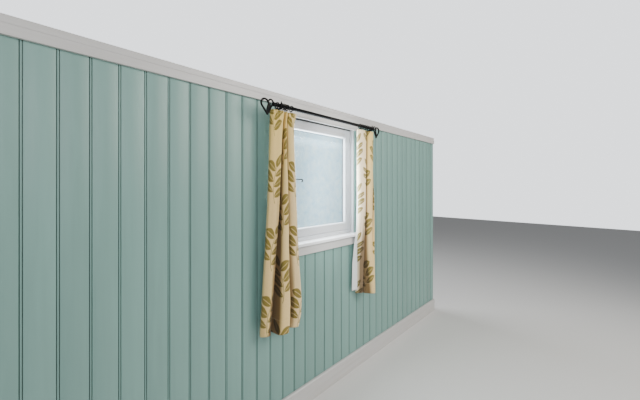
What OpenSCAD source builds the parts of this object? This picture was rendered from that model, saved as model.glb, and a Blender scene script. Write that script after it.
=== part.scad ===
// Side wall of a shepherds hut, with a curtained casement window.
// X runs along the wall, to the right as seen from the room. The room is at -Y and outside at +Y.
// The origin is at the middle of the sole plate's underside.

/* [Wall] */
// Length of the wall
wall_len = 3600; // [2400:90:5400]
// Height of the wall, to the top of the top plate
wall_h = 1905; // [1700:5:2300]
// Depth of the studs and plates, across the wall
stud_depth = 70; // [60:5:120]
// Width of a stud's face
stud_w = 45; // [35:1:60]
// Thickness of the sole plate, the top plate and the sill trimmer
plate_t = 45; // [35:1:50]
// Height of the trimmer over the window, up to the top plate
head_trimmer_h = 38; // [25:1:90]
// Widest clear bay between two studs
bay_max = 450; // [300:10:600]

/* [Matchboard] */
// Thickness of the lining boards in the room
lining_t = 12; // [9:1:20]
// Thickness of the cladding boards outside
cladding_t = 18; // [12:1:28]
// Distance from one board joint to the next
board_pitch = 90; // [60:5:150]
// Place of a board joint, from the middle of the window
board_shift = 22; // [0:1:60]
// Width of the bead at a board joint
bead_w = 6; // [4:0.5:8]
// Width of the quirk on each side of a bead
quirk_w = 2; // [1:0.5:3]
// Depth of a quirk
quirk_depth = 4; // [4:0.5:6]

/* [Window] */
// Width of the sash
sash_w = 676; // [500:2:900]
// Height of the sash
sash_h = 749; // [500:1:900]
// Thickness of the sash
sash_t = 44; // [38:1:50]
// Depth of the sash's face behind the lining's face
sash_recess = 25; // [15:1:30]
// Running gap round the sash
sash_gap = 2; // [1:0.5:3]
// Width of the sash's stiles
stile_w = 61; // [45:1:80]
// Height of the sash's top rail
top_rail_h = 68; // [45:1:90]
// Height of the sash's bottom rail
bottom_rail_h = 55; // [45:1:90]
// Chamfer round the glass, on the room side
sash_chamfer = 6; // [3:1:8]
// Width of the rebate that the glass lies in
rebate_w = 9; // [6:1:12]
// Depth of the rebate, from the outer face of the sash
rebate_depth = 18; // [15:1:22]
// Thickness of the glass
glass_t = 4; // [3:1:6]
// Thickness of the frame's jambs and head
jamb_t = 24; // [20:1:27]
// Width of the jamb's edge that shows beside the boards
jamb_lip = 11; // [5:1:16]
// How far the outer stop stands in over the sash
stop_w = 10; // [6:1:14]
// How far the frame stands out from the cladding
frame_proud = 5; // [2:1:15]
// Height of the frame's sill that shows over the window board
sill_show = 27; // [15:1:40]
// How far the outer sill stands out from the cladding
sill_reach = 32; // [20:1:60]
// How far the outer sill runs on past the frame
sill_horn = 30; // [10:1:60]

/* [Inner trim] */
// Height of the frieze board
frieze_h = 65; // [50:1:90]
// Thickness of the frieze board
frieze_t = 14; // [10:1:20]
// Height of the skirting board
skirting_h = 119; // [80:1:180]
// Thickness of the skirting board
skirting_t = 18; // [12:1:24]
// Thickness of the board over the window
head_board_t = 12; // [8:1:14]
// How far the board over the window runs on past the boards' edge
head_board_lap = 42; // [20:1:44]
// How far the board over the window hangs over the sash
head_cover = 6; // [3:1:12]
// Thickness of the window board
window_board_t = 21; // [18:1:30]
// How far the window board stands out from the lining
nosing_reach = 40; // [25:1:50]
// How far the window board runs on past the boards' edge
nosing_lap = 30; // [10:1:60]
// Height of the apron under the window board
apron_h = 58; // [40:1:90]
// Thickness of the apron
apron_t = 18; // [12:1:20]

/* [Window fittings] */
// Height of a hinge
hinge_h = 50; // [40:1:75]
// Distance from a hinge's middle to the sash's top or bottom edge
hinge_inset = 77; // [50:1:150]
// Diameter of a hinge's knuckle
knuckle_d = 8; // [6:0.5:10]
// Height of the casement fastener over the sash's underside
fastener_up = 365; // [150:5:400]
// Length of the fastener's back plate
fastener_plate_h = 64; // [50:1:90]
// Width of the fastener's back plate
fastener_plate_w = 18; // [14:1:24]
// Diameter of the bar that the fastener's handle is bent from
handle_d = 7; // [5:0.5:9]
// Length of the fastener's handle, from its pivot to its crook
handle_len = 96; // [80:1:120]
// Radius of the crook at the handle's end
crook_r = 7; // [6:0.5:10]

/* [Curtain pole] */
// Side of the square bar that the pole is twisted from
pole_side = 16; // [10:0.5:20]
// How far the twisted pole runs on past its outer ring
pole_tail = 7.25; // [5:0.25:40]
// Length of one whole turn of the twist
twist_len = 57; // [40:1:90]
// Distance from the lining's face to the pole's axis
pole_reach = 90; // [80:1:130]
// Drop of the pole's axis under the frieze board
pole_drop = 34; // [26:1:45]
// Width over a heart finial
heart_w = 86; // [70:1:110]
// Height over a heart finial
heart_h = 90; // [80:1:125]
// Share of a heart's width that its outer lobe takes
outer_lobe_share = 0.62; // [0.5:0.01:0.68]
// Diameter of the bar that the hearts are bent from
heart_bar = 10.5; // [6:0.5:12]
// Length of the collar between the pole and a heart
collar_len = 23; // [12:1:30]
// Diameter of that collar
collar_d = 25; // [24:1:32]
// Least gap between the board over the window and a bracket's plate
bracket_gap = 20; // [2:1:60]
// Diameter of a bracket's arm
arm_d = 10; // [6:0.5:12]
// Height of a bracket's point over the pole's axis
bracket_point_h = 20; // [14:1:40]
// Width of a bracket's wall plate
bracket_plate_w = 16; // [12:1:20]
// Height of a bracket's wall plate
bracket_plate_h = 56; // [30:1:90]
// Thickness of a bracket's wall plate
bracket_plate_t = 4; // [3:0.5:6]

/* [Curtain rings] */
// Number of rings on each curtain
ring_n = 6; // [3:1:7]
// Radius of a ring, to the middle of its wire
ring_r = 16; // [14.5:0.5:20]
// Diameter of a ring's wire
ring_wire = 5; // [2:0.5:6]
// Radius of the eyelet that hangs in a ring, to the middle of its wire
eye_r = 6; // [5:0.5:8]
// Diameter of the eyelet's wire
eye_wire = 1.6; // [1:0.2:2]
// Ridges of the pole's twist from one ring of the left curtain to the next
ring_step_left = 1; // [1:1:2]
// Ridges of the pole's twist from one ring of the right curtain to the next
ring_step_right = 2; // [1:1:2]
// Further ridges that the left curtain's leading ring stands apart
ring_apart_left = 1; // [0:1:2]
// Further ridges that the right curtain's leading ring stands apart
ring_apart_right = 0; // [0:1:2]

/* [Curtains] */
// Drop of the curtains, from the rings to the hem
curtain_drop = 1210; // [900:10:1500]
// Thickness of a curtain with its lining
curtain_t = 5; // [4:0.5:8]
// Depth of the folds at the heading
fold_top = 16; // [4:1:24]
// Depth of the folds at the hem
fold_hem = 42; // [20:1:56]
// Folds in the left curtain
folds_left = 3; // [2:1:5]
// Folds in the right curtain
folds_right = 2.5; // [2:0.5:5]
// How far a heading runs on past its last ring
heading_tail = 32; // [10:1:60]
// How far a heading runs on past the end of the pole
heading_rim = 24; // [0:1:24]
// Spread of the left curtain at the hem, towards the window
lead_flare_left = 22; // [-40:1:90]
// Spread of the left curtain at the hem, away from the window
rim_flare_left = 47; // [-40:1:90]
// Spread of the right curtain at the hem, towards the window
lead_flare_right = 0; // [-40:1:90]
// Spread of the right curtain at the hem, away from the window
rim_flare_right = -25; // [-40:1:90]
// How far the left curtain's leading edge hangs back towards the wall at the hem
lead_sway_left = -15; // [-40:1:40]
// How far the left curtain's outer edge hangs back towards the wall at the hem
rim_sway_left = 38; // [-40:1:40]
// How far the right curtain's leading edge hangs back towards the wall at the hem
lead_sway_right = 38; // [-40:1:40]
// How far the right curtain's outer edge hangs back towards the wall at the hem
rim_sway_right = -20; // [-40:1:40]

/* [Hidden] */
$fn = 48;

green = [0.50, 0.62, 0.59];
white = [0.88, 0.87, 0.83];
timber = [0.78, 0.62, 0.42];
pane = [0.75, 0.85, 0.88, 0.5];
iron = [0.08, 0.08, 0.08];
cream = [0.84, 0.78, 0.64];

// Extra length that carries a cut or a joined form past a face
over = 1;
// Gap under a piece that hangs, or round one that turns
seat = 0.3;

// Depths across the wall
lining_y = -stud_depth / 2;
room_y = lining_y - lining_t;
stud_y1 = stud_depth / 2;
clad_y = stud_y1 + cladding_t;
frame_y1 = clad_y + frame_proud;
sash_y0 = room_y + sash_recess;
sash_y1 = sash_y0 + sash_t;
glass_y = sash_y1 - rebate_depth;

// Places along the wall, from the middle of the window
jamb_in = sash_w / 2 + sash_gap;
jamb_out = jamb_in + jamb_t;
board_edge = jamb_in + jamb_lip;
trimmer_out = jamb_out + stud_w;
wall_end = wall_len / 2;
sight_x = sash_w / 2 - stile_w;

// Heights
plate_z = wall_h - plate_t;
head_z1 = plate_z - head_trimmer_h;
head_z0 = head_z1 - jamb_t;
sash_z1 = head_z0 - sash_gap;
sash_z0 = sash_z1 - sash_h;
sight_z0 = sash_z0 + bottom_rail_h;
sight_z1 = sash_z1 - top_rail_h;
sill_z = sash_z0 - sash_gap;
board_top = sill_z - sill_show;
board_under = board_top - window_board_t;
trimmer_z = board_under - plate_t;
frieze_z = wall_h - frieze_h;

// Board joints between two places along the wall, with a whole bead each
groove_w = bead_w + 2 * quirk_w;
function joints(x0, x1) = [
    for (n = [ceil((x0 + groove_w - board_shift) / board_pitch) :
              floor((x1 - groove_w - board_shift) / board_pitch)]) board_shift + n * board_pitch
];

// Studs that stand between a trimmer and an end stud, at even bays
infill_run = wall_end - stud_w - trimmer_out;
infill_n = ceil((infill_run - bay_max) / (bay_max + stud_w));
infill_bay = (infill_run - infill_n * stud_w) / (infill_n + 1);
function infill_x() = [
    for (n = [1 : infill_n]) trimmer_out + n * infill_bay + (n - 1) * stud_w
];

module along_x(length) rotate([90, 0, 90]) linear_extrude(length, center = true) children();

module in_wall_plane() rotate([90, 0, 0]) children();

// Negative of one bead with its two quirks, cut into a face at y = 0
module bead_cut() {
    difference() {
        translate([-groove_w / 2, -over]) square([groove_w, quirk_depth + over]);
        translate([0, bead_w / 2]) circle(d = bead_w);
        translate([-bead_w / 2, bead_w / 2]) square([bead_w, quirk_depth]);
    }
}

// Matchboard with its beaded face at y = 0 and its back at y = thickness
module matchboard(x0, x1, height, thickness) {
    linear_extrude(height) difference() {
        translate([x0, 0]) square([x1 - x0, thickness]);
        for (x = joints(x0, x1)) translate([x, 0]) bead_cut();
    }
}

module lining(x0, x1, z0, z1)
    color(green) translate([0, room_y, z0]) matchboard(x0, x1, z1 - z0, lining_t);

module cladding(x0, x1, z0, z1)
    color(green) translate([0, clad_y, z0]) mirror([0, 1, 0]) matchboard(x0, x1, z1 - z0, cladding_t);

module stud(x0, z0, z1)
    translate([x0, -stud_depth / 2, z0]) cube([stud_w, stud_depth, z1 - z0]);

module rail(x0, x1, z0, height)
    translate([x0, -stud_depth / 2, z0]) cube([x1 - x0, stud_depth, height]);

// Timber frame
module sole_plate() color(timber) rail(-wall_end, wall_end, 0, plate_t);
module top_plate() color(timber) rail(-wall_end, wall_end, plate_z, plate_t);
module end_stud_left() color(timber) stud(-wall_end, plate_t, plate_z);
module end_stud_right() color(timber) stud(wall_end - stud_w, plate_t, plate_z);
module studs_right() color(timber) for (x = infill_x()) stud(x, plate_t, plate_z);
module studs_left() mirror([1, 0, 0]) studs_right();
module trimmer_right() color(timber) stud(jamb_out, plate_t, plate_z);
module trimmer_left() mirror([1, 0, 0]) trimmer_right();
module head_trimmer() color(timber) rail(-jamb_out, jamb_out, head_z1, head_trimmer_h);
module sill_trimmer() color(timber) rail(-jamb_out, jamb_out, trimmer_z, plate_t);
module cripple_stud() color(timber) stud(-stud_w / 2, plate_t, trimmer_z);

// Room lining and outer cladding, in panels round the window
module lining_left() lining(-wall_end, -board_edge, 0, wall_h);
module lining_right() lining(board_edge, wall_end, 0, wall_h);
module lining_below() lining(-board_edge, board_edge, 0, board_under);
module lining_above() lining(-board_edge, board_edge, head_z1, wall_h);
module cladding_left() cladding(-wall_end, -jamb_out, 0, wall_h);
module cladding_right() cladding(jamb_out, wall_end, 0, wall_h);
module cladding_below() cladding(-jamb_out, jamb_out, 0, board_under);
module cladding_above() cladding(-jamb_out, jamb_out, head_z1, wall_h);

// Frieze board with a shallow step along it
frieze_step = 3;
frieze_step_up = 0.55 * frieze_h;
module frieze_board() {
    color(white) translate([0, 0, frieze_z]) along_x(wall_len) polygon([
        [room_y, 0], [room_y - frieze_t, 0], [room_y - frieze_t, frieze_step_up],
        [room_y - frieze_t + frieze_step, frieze_step_up + frieze_step],
        [room_y - frieze_t + frieze_step, frieze_h], [room_y, frieze_h]
    ]);
}

skirting_chamfer = 6;
module skirting_board() {
    color(white) along_x(wall_len) polygon([
        [room_y, 0], [room_y - skirting_t, 0], [room_y - skirting_t, skirting_h - skirting_chamfer],
        [room_y - skirting_t + skirting_chamfer, skirting_h], [room_y, skirting_h]
    ]);
}

head_board_z = sash_z1 - head_cover;
module head_board() {
    color(white) translate([-board_edge - head_board_lap, room_y - head_board_t, head_board_z])
        cube([2 * (board_edge + head_board_lap), head_board_t, frieze_z - head_board_z]);
}

// Board section with its two front edges rounded, front at y = 0 and underside at z = 0
module rounded_front(depth, thickness, radius) {
    translate([radius, 0]) square([depth - radius, thickness]);
    translate([0, radius]) square([depth - radius, thickness - 2 * radius]);
    for (z = [radius, thickness - radius]) translate([radius, z]) circle(radius);
}

nosing_round = 5;
module window_board() {
    color(white) translate([0, room_y - nosing_reach, board_under]) {
        along_x(2 * (board_edge + nosing_lap))
            rounded_front(nosing_reach, window_board_t, nosing_round);
        along_x(2 * jamb_in) translate([nosing_reach - over, 0])
            square([sash_recess + over, window_board_t]);
    }
}

apron_round = 3;
module apron() {
    color(white) translate([0, room_y - apron_t, board_under - apron_h]) difference() {
        along_x(2 * board_edge) square([apron_t, apron_h]);
        along_x(2 * board_edge + 2 * over) translate([0, -over])
            difference() {
                translate([-over, 0]) square([apron_round + over, apron_round + over]);
                translate([apron_round, apron_round + over]) circle(apron_round);
            }
    }
}

// Window frame
module jamb_section() {
    polygon([
        [jamb_in, room_y], [board_edge, room_y], [board_edge, lining_y], [jamb_out, lining_y],
        [jamb_out, frame_y1], [jamb_in - stop_w, frame_y1], [jamb_in - stop_w, sash_y1],
        [jamb_in, sash_y1]
    ]);
}
module frame_jamb_right()
    color(white) translate([0, 0, board_under]) linear_extrude(head_z1 - board_under) jamb_section();
module frame_jamb_left() mirror([1, 0, 0]) frame_jamb_right();

// The head stops against the jambs and their stops
module frame_head() {
    color(white) {
        along_x(2 * jamb_in) polygon([
            [room_y, head_z0], [room_y, head_z1], [sash_y1, head_z1], [sash_y1, head_z0]
        ]);
        along_x(2 * (jamb_in - stop_w)) polygon([
            [sash_y1 - over, head_z0], [sash_y1 - over, head_z1], [frame_y1, head_z1],
            [frame_y1, head_z0 - stop_w], [sash_y1, head_z0 - stop_w], [sash_y1, head_z0]
        ]);
    }
}

// The sill slopes down outside, with a drip groove under its nose
sill_nose_h = 18;
sill_fall = 14;
sill_y1 = clad_y + sill_reach;
drip_d = 6;
drip_inset = 10;
sill_stop_z = sill_z + stop_w;
sill_nose_z = sill_stop_z - sill_fall;
module frame_sill() {
    color(white) {
        along_x(2 * jamb_in) polygon([
            [sash_y0, board_under], [sash_y0, sill_z], [sash_y1, sill_z], [sash_y1, board_under]
        ]);
        along_x(2 * (jamb_in - stop_w)) polygon([
            [sash_y1 - over, board_under], [sash_y1 - over, sill_z], [sash_y1, sill_z],
            [sash_y1, sill_stop_z], [frame_y1, sill_stop_z], [frame_y1, board_under]
        ]);
        difference() {
            along_x(2 * (jamb_out + sill_horn)) polygon([
                [frame_y1, sill_nose_z - sill_nose_h], [frame_y1, sill_stop_z],
                [sill_y1, sill_nose_z], [sill_y1, sill_nose_z - sill_nose_h]
            ]);
            translate([0, sill_y1 - drip_inset, sill_nose_z - sill_nose_h]) rotate([0, 90, 0])
                cylinder(h = 2 * (jamb_out + sill_horn) + 2 * over, d = drip_d, center = true);
        }
    }
}

// Sash: what is cut for the glass is one prism up the window met by one along it
module glazed_section(half) {
    polygon([
        [half + sash_chamfer + over, sash_y0 - over], [half, sash_y0 + sash_chamfer],
        [half, glass_y], [half + rebate_w, glass_y], [half + rebate_w, sash_y1 + over],
        [-half - rebate_w, sash_y1 + over], [-half - rebate_w, glass_y], [-half, glass_y],
        [-half, sash_y0 + sash_chamfer], [-half - sash_chamfer - over, sash_y0 - over]
    ]);
}
sight_h = sight_z1 - sight_z0;
sight_mid = (sight_z0 + sight_z1) / 2;
module glazed_cut() {
    intersection() {
        translate([0, 0, sash_z0]) linear_extrude(sash_h) glazed_section(sight_x);
        translate([0, 0, sight_mid]) rotate([0, 90, 0])
            linear_extrude(sash_w, center = true) glazed_section(sight_h / 2);
    }
}
module sash_member(x0, x1, z0, z1) {
    color(white) difference() {
        translate([x0, sash_y0, z0]) cube([x1 - x0, sash_t, z1 - z0]);
        glazed_cut();
    }
}
module sash_top_rail() sash_member(-sight_x, sight_x, sight_z1, sash_z1);
module sash_bottom_rail() sash_member(-sight_x, sight_x, sash_z0, sight_z0);
module sash_stile_left() sash_member(-sash_w / 2, -sight_x, sash_z0, sash_z1);
module sash_stile_right() sash_member(sight_x, sash_w / 2, sash_z0, sash_z1);

// Glass lies in the rebate with a small gap at its edge, and the beads hold it
glass_edge = rebate_w - 1;
module glass_pane() {
    color(pane) translate([-sight_x - glass_edge, glass_y, sight_z0 - glass_edge])
        cube([2 * (sight_x + glass_edge), glass_t, sight_h + 2 * glass_edge]);
}

bead_y = glass_y + glass_t;
bead_depth = sash_y1 - bead_y;
module bead_section() {
    difference() {
        square([rebate_w, bead_depth]);
        translate([0, bead_depth]) rotate([0, 0, 45]) square(rebate_w, center = true);
    }
}
module glazing_beads() {
    color(white) {
        for (side = [0, 1]) mirror([side, 0, 0])
            translate([sight_x, bead_y, sight_z0 - rebate_w])
                linear_extrude(sight_h + 2 * rebate_w) bead_section();
        for (side = [0, 1]) translate([0, 0, sight_mid]) mirror([0, 0, side])
            translate([0, bead_y, sight_h / 2])
                rotate([0, -90, 0]) linear_extrude(2 * sight_x, center = true) bead_section();
    }
}

// Hinges in the gap beside the right stile
hinge_leaf = 30;
module sash_hinges() {
    color(iron) for (z = [sash_z0 + hinge_inset, sash_z1 - hinge_inset])
        translate([jamb_in, sash_y0, z - hinge_h / 2]) {
            translate([-knuckle_d / 2, -knuckle_d / 2, 0]) cylinder(h = hinge_h, d = knuckle_d);
            translate([-sash_gap, -knuckle_d / 2, 0])
                cube([sash_gap, hinge_leaf + knuckle_d / 2, hinge_h]);
        }
}

// A round bar bent along a path in the XY plane, closed at both ends, tapered from d to end_d
bar_sides = 8;
function unit(v) = v / norm(v);
function heading(path, i) =
    unit(path[min(i + 1, len(path) - 1)] - path[max(i - 1, 0)]);
module bent_bar(path, d, end_d) {
    rings = len(path) - 1;
    points = [for (i = [0 : rings], j = [0 : bar_sides - 1])
        let (t = heading(path, i), a = 360 * j / bar_sides, r = (d + (end_d - d) * i / rings) / 2)
        [path[i].x - t.y * r * cos(a), path[i].y + t.x * r * cos(a), r * sin(a)]];
    last = rings * bar_sides;
    polyhedron(points, [
        [for (j = [0 : bar_sides - 1]) j],
        for (i = [0 : rings - 1], j = [0 : bar_sides - 1])
            let (a = i * bar_sides + j, b = i * bar_sides + (j + 1) % bar_sides)
            [a, a + bar_sides, b + bar_sides, b],
        [for (j = [bar_sides - 1 : -1 : 0]) last + j]
    ]);
}
function arc(centre, radius, start, end, steps) = [
    for (i = [0 : steps])
        let (a = start + (end - start) * i / steps) centre + radius * [cos(a), sin(a)]
];

module rod(length, d, sides = $fn) rotate([0, 90, 0]) cylinder(h = length, d = d, $fn = sides);

// Casement fastener on the left stile: back plate, pivot, nose and a handle with a crook
fastener_plate_t = 3;
fastener_z = sash_z0 + fastener_up;
fastener_x = -(sash_w / 2 + sight_x) / 2;
pivot_d = 16;
pivot_h = 12;
nose_h = 10;
nose_t = 5;
crook_end_d = 0.8 * handle_d;
module fastener_plate() {
    linear_extrude(fastener_plate_t) {
        square([fastener_plate_w, fastener_plate_h - fastener_plate_w], center = true);
        for (side = [-1, 1]) translate([0, side * (fastener_plate_h - fastener_plate_w) / 2])
            circle(d = fastener_plate_w);
    }
}
module handle() {
    bent_bar(concat([[0, 0]], arc([handle_len, -crook_r], crook_r, 90, -100, 10)), handle_d, crook_end_d);
}
module casement_fastener() {
    color(iron) translate([fastener_x, sash_y0, fastener_z]) in_wall_plane() {
        fastener_plate();
        cylinder(h = fastener_plate_t + pivot_h, d = pivot_d);
        translate([0, 0, fastener_plate_t + handle_d / 2 + over]) handle();
        translate([seat - jamb_in - fastener_x, -nose_h / 2, fastener_plate_t])
            cube([jamb_in + fastener_x - seat, nose_h, nose_t]);
    }
}

// Curtain pole, twisted from a square bar
pole_y = room_y - pole_reach;
pole_z = frieze_z - pole_drop;
pole_r = pole_side / sqrt(2);
// An edge of the twisted bar points straight up at every ridge, and each bracket is at the first
// ridge past its gap
ridge_pitch = twist_len / 4;
function ridge_after(x) = ridge_pitch * (ceil(x / ridge_pitch - 0.5) + 0.5);
bracket_x = ridge_after(board_edge + head_board_lap + bracket_gap + bracket_plate_w / 2);
outer_ring_x = bracket_x + ridge_pitch;
inner_ring_x = bracket_x - ridge_pitch;
pole_len = 2 * (outer_ring_x + pole_tail);
turns = pole_len / twist_len;
slices_per_turn = 16;
module curtain_pole() {
    color(iron) translate([-pole_len / 2, pole_y, pole_z]) rotate([90, 0, 90])
        linear_extrude(pole_len, twist = 360 * turns, slices = ceil(turns * slices_per_turn), segments = 4)
            rotate(180 * turns) square(pole_side, center = true);
}

// Heart finial: a wide outer lobe, a narrow inner one on the pole's side that stands a little
// higher, two legs to the tip and an S-shaped bar from the cleft to the tip.
// The cleft is at the origin and the heart stands in the XY plane.
lobe_run = (heart_w - heart_bar) / 2;
outer_r = outer_lobe_share * lobe_run;
inner_r = lobe_run - outer_r;
inner_lift = 3.5;
outer_c = [outer_r, 0];
inner_c = [-inner_r, outer_r + inner_lift - inner_r];
tip = [outer_r - inner_r, outer_r + inner_lift + heart_bar - heart_h];
// Where a leg from the tip touches a lobe: on the lobe's right (side 1) or left (side -1)
function leg_angle(c, r, side) =
    let (v = tip - c) atan2(v.y, v.x) + side * acos(r / norm(v));
outer_end = leg_angle(outer_c, outer_r, 1);
inner_end = leg_angle(inner_c, inner_r, -1) + 360;
// The outer bar goes up from the tip and round to the cleft, where the thinner curl leaves it.
// The inner bar is drawn out thin and ends inside the outer one.
curl_d = 0.9 * heart_bar;
drawn_d = 0.7 * heart_bar;
tip_d = 1.25 * heart_bar;
curl_bow = 4;
curl_steps = 10;
lap_angle = 160;
curl_end = tip + [0, heart_bar / 2];
function curl_point(k) = [curl_end.x * k + curl_bow * sin(180 * k), curl_end.y * k];
module heart() {
    bent_bar(concat([tip], arc(outer_c, outer_r, outer_end, 180, 16)), heart_bar, heart_bar);
    bent_bar(concat([tip], arc(inner_c, inner_r, inner_end, 0, 14), [[0.2 * heart_bar, 0]]),
        heart_bar, drawn_d);
    bent_bar(concat([outer_c + outer_r * [cos(lap_angle), sin(lap_angle)]],
        [for (i = [0 : curl_steps]) curl_point(i / curl_steps)]), curl_d, curl_d);
    translate(tip) sphere(d = tip_d, $fn = bar_sides);
}

// The inner lobe's side meets the collar at the height of the pole, over the cleft
heart_drop = 5;
side_up = heart_drop - inner_c.y;
heart_side = inner_r + sqrt(inner_r * inner_r - side_up * side_up);
module finial_right() {
    color(iron) translate([pole_len / 2, pole_y, pole_z]) in_wall_plane() {
        rod(collar_len, collar_d, 12);
        translate([collar_len + heart_side, -heart_drop, 0]) heart();
    }
}
module finial_left() mirror([1, 0, 0]) finial_right();

// Bracket: a plate on the lining under the frieze, an arm under the pole and a cradle round its
// front, which ends in a point over it
cradle_r = pole_r + seat + arm_d / 2;
arm_z = pole_z - cradle_r;
point_h = 12;
point_d = 5;
plate_gap = 2;
module bracket_right() {
    color(iron) translate([bracket_x, 0, 0]) {
        translate([-bracket_plate_w / 2, room_y - bracket_plate_t, frieze_z - plate_gap - bracket_plate_h])
            cube([bracket_plate_w, bracket_plate_t, bracket_plate_h]);
        translate([0, pole_y, arm_z]) rotate([-90, 0, 0])
            cylinder(h = pole_reach - bracket_plate_t, d = arm_d);
        translate([0, pole_y, pole_z]) rotate([0, -90, 0]) rotate([0, 0, 180])
            rotate_extrude(angle = 90) translate([cradle_r, 0]) circle(d = arm_d);
        translate([0, pole_y - cradle_r, pole_z]) {
            cylinder(h = bracket_point_h - point_h, d = arm_d);
            translate([0, 0, bracket_point_h - point_h]) cylinder(h = point_h, d1 = arm_d, d2 = point_d);
        }
    }
}
module bracket_left() mirror([1, 0, 0]) bracket_right();

// Rings: one outside the bracket and the others bunched inside it, each on a ridge of the pole and
// with its eyelet
ring_z = pole_z + pole_r + seat - (ring_r - ring_wire / 2);
eye_z = ring_z - ring_r + (ring_wire + eye_wire) / 2 + seat - eye_r;
module ring() {
    translate([0, pole_y, ring_z]) rotate([0, 90, 0])
        rotate_extrude() translate([ring_r, 0]) circle(d = ring_wire);
    translate([0, pole_y, eye_z]) rotate([90, 0, 0])
        rotate_extrude() translate([eye_r, 0]) circle(d = eye_wire);
}
function leading_ring_x(step, apart) = inner_ring_x - ((ring_n - 2) * step + apart) * ridge_pitch;
module ring_set(step, apart) {
    color(iron) {
        translate([outer_ring_x, 0, 0]) ring();
        for (n = [0 : ring_n - 3]) translate([inner_ring_x - n * step * ridge_pitch, 0, 0]) ring();
        translate([leading_ring_x(step, apart), 0, 0]) ring();
    }
}
module rings_right() ring_set(ring_step_right, ring_apart_right);
module rings_left() mirror([1, 0, 0]) ring_set(ring_step_left, ring_apart_left);

// Curtain: a folded sheet whose two edges run from the heading to the hem.
// k goes from 0 at the heading to 1 at the hem, and u from 0 at the leading edge to 1.
// edges holds the leading edge at the heading and at the hem, then the outer edge at both, and
// sway how far the leading and the outer edge hang back at the hem.
curtain_z = eye_z - eye_r - eye_wire / 2 - seat;
curtain_rows = 12;
columns_per_fold = 12;
flare_power = 1.6;
function blend(a, b, k) = a + (b - a) * pow(k, flare_power);
function fold_y(folds, u, k) = blend(fold_top, fold_hem, k) / 2 * cos(360 * folds * u);
function curtain_point(edges, sway, folds, u, k, side) =
    let (lead = blend(edges[0], edges[1], k), rim = blend(edges[2], edges[3], k),
         back = blend(0, sway[0] + (sway[1] - sway[0]) * u, k))
    [lead + (rim - lead) * u, fold_y(folds, u, k) + back + side * curtain_t / 2,
     curtain_z - k * curtain_drop];
// Two triangles over a quadrilateral
function quad(a, b, c, d) = [[a, b, c], [a, c, d]];
module curtain(edges, sway, folds) {
    columns = ceil(folds * columns_per_fold);
    row_n = columns + 1;
    back = (curtain_rows + 1) * row_n;
    points = [for (side = [-1, 1], row = [0 : curtain_rows], i = [0 : columns])
        curtain_point(edges, sway, folds, i / columns, row / curtain_rows, side)];
    faces = [
        for (row = [0 : curtain_rows - 1], i = [0 : columns - 1])
            let (a = row * row_n + i, b = a + row_n)
            each concat(quad(a, a + 1, b + 1, b), quad(back + b, back + b + 1, back + a + 1, back + a)),
        for (row = [0 : curtain_rows - 1])
            let (a = row * row_n, b = a + row_n)
            each concat(quad(a, b, back + b, back + a),
                        quad(back + a + columns, back + b + columns, b + columns, a + columns)),
        for (i = [0 : columns - 1])
            let (a = i, b = curtain_rows * row_n + i)
            each concat(quad(back + a, back + a + 1, a + 1, a), quad(b, b + 1, back + b + 1, back + b))
    ];
    color(cream) translate([0, pole_y, 0]) polyhedron(points, faces);
}
function curtain_edges(step, apart, lead_flare, rim_flare) =
    let (lead = leading_ring_x(step, apart) - heading_tail, rim = pole_len / 2 + heading_rim)
    [lead, lead - lead_flare, rim, rim + rim_flare];
module curtain_right()
    curtain(curtain_edges(ring_step_right, ring_apart_right, lead_flare_right, rim_flare_right),
            [lead_sway_right, rim_sway_right], folds_right);
module curtain_left() mirror([1, 0, 0])
    curtain(curtain_edges(ring_step_left, ring_apart_left, lead_flare_left, rim_flare_left),
            [lead_sway_left, rim_sway_left], folds_left);

sole_plate();
top_plate();
end_stud_left();
end_stud_right();
studs_left();
studs_right();
trimmer_left();
trimmer_right();
head_trimmer();
sill_trimmer();
cripple_stud();
lining_left();
lining_right();
lining_below();
lining_above();
cladding_left();
cladding_right();
cladding_below();
cladding_above();
frieze_board();
skirting_board();
head_board();
window_board();
apron();
frame_head();
frame_sill();
frame_jamb_left();
frame_jamb_right();
sash_top_rail();
sash_bottom_rail();
sash_stile_left();
sash_stile_right();
glass_pane();
glazing_beads();
sash_hinges();
casement_fastener();
curtain_pole();
finial_left();
finial_right();
bracket_left();
bracket_right();
rings_left();
rings_right();
curtain_left();
curtain_right();
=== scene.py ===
"""Looks of a shepherds hut side wall with its casement window, curtain pole and curtains.

Metres, in the row frame: X along the wall, the room at -Y, outside at +Y, Z up.
"""

import math
import random
from math import cos, pi, radians, sin

import bpy
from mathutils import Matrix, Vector, noise


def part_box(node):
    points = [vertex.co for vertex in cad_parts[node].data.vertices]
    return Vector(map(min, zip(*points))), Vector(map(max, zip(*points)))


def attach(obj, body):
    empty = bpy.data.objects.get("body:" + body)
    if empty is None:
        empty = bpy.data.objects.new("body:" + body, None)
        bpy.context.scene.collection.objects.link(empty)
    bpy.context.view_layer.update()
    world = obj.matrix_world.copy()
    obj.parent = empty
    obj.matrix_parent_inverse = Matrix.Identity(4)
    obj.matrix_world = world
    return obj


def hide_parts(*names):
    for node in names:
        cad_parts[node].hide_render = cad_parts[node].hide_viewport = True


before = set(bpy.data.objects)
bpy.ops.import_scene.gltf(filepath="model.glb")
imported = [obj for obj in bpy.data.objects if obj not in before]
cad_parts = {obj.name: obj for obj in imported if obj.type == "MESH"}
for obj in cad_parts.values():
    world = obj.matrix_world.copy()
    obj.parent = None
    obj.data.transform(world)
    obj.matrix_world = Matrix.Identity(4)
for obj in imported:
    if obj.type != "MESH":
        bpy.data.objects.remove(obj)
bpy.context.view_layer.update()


def add_object(name, data):
    thing = bpy.data.objects.new(name, data)
    bpy.context.scene.collection.objects.link(thing)
    return thing


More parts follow.
